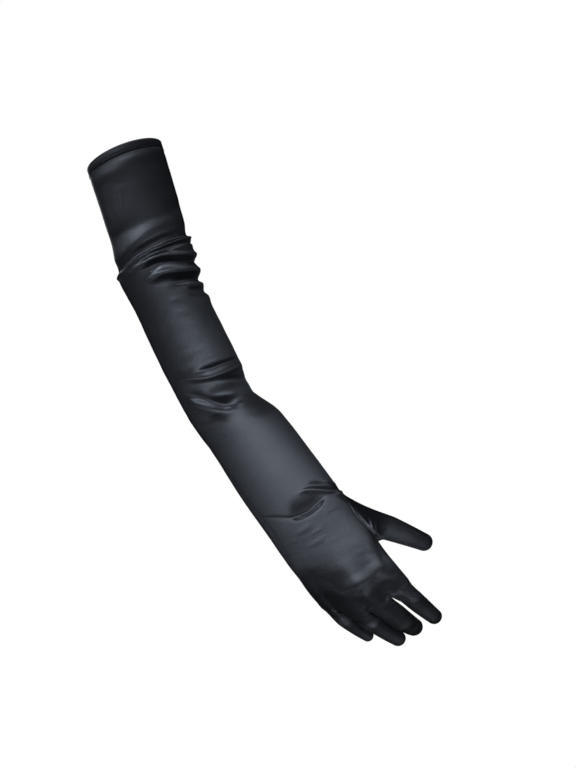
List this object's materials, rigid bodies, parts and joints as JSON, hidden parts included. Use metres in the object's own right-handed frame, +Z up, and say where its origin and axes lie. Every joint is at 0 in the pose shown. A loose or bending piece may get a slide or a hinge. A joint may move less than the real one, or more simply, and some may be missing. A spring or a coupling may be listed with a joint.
{
  "type": "long evening glove",
  "caption": "Long satin evening glove for the right hand, shaped as on a slightly bent arm, with gathered elbow folds, set-in thumb, finger side strips and a turned top hem.",
  "frame": {"origin": "centre of the sleeve's opening, where the upper arm goes in", "axes": "+Z up the arm and out of the sleeve, -Y out of the back of the hand, +X towards the thumb"},
  "size_m": [0.1321, 0.0978, 0.5369],
  "materials": {
    "satin": "black stretch satin with a broad soft sheen and a fine ribbed weave",
    "hem_satin": "the same satin turned in and stitched, with fine cross ribs and a row of stitches"
  },
  "bodies": {
    "root": {"trank": "satin", "thumb": "satin", "fourchette_index_middle": "satin", "fourchette_middle_ring": "satin", "fourchette_ring_little": "satin", "top_hem": "hem_satin"}
  },
  "joints": []
}
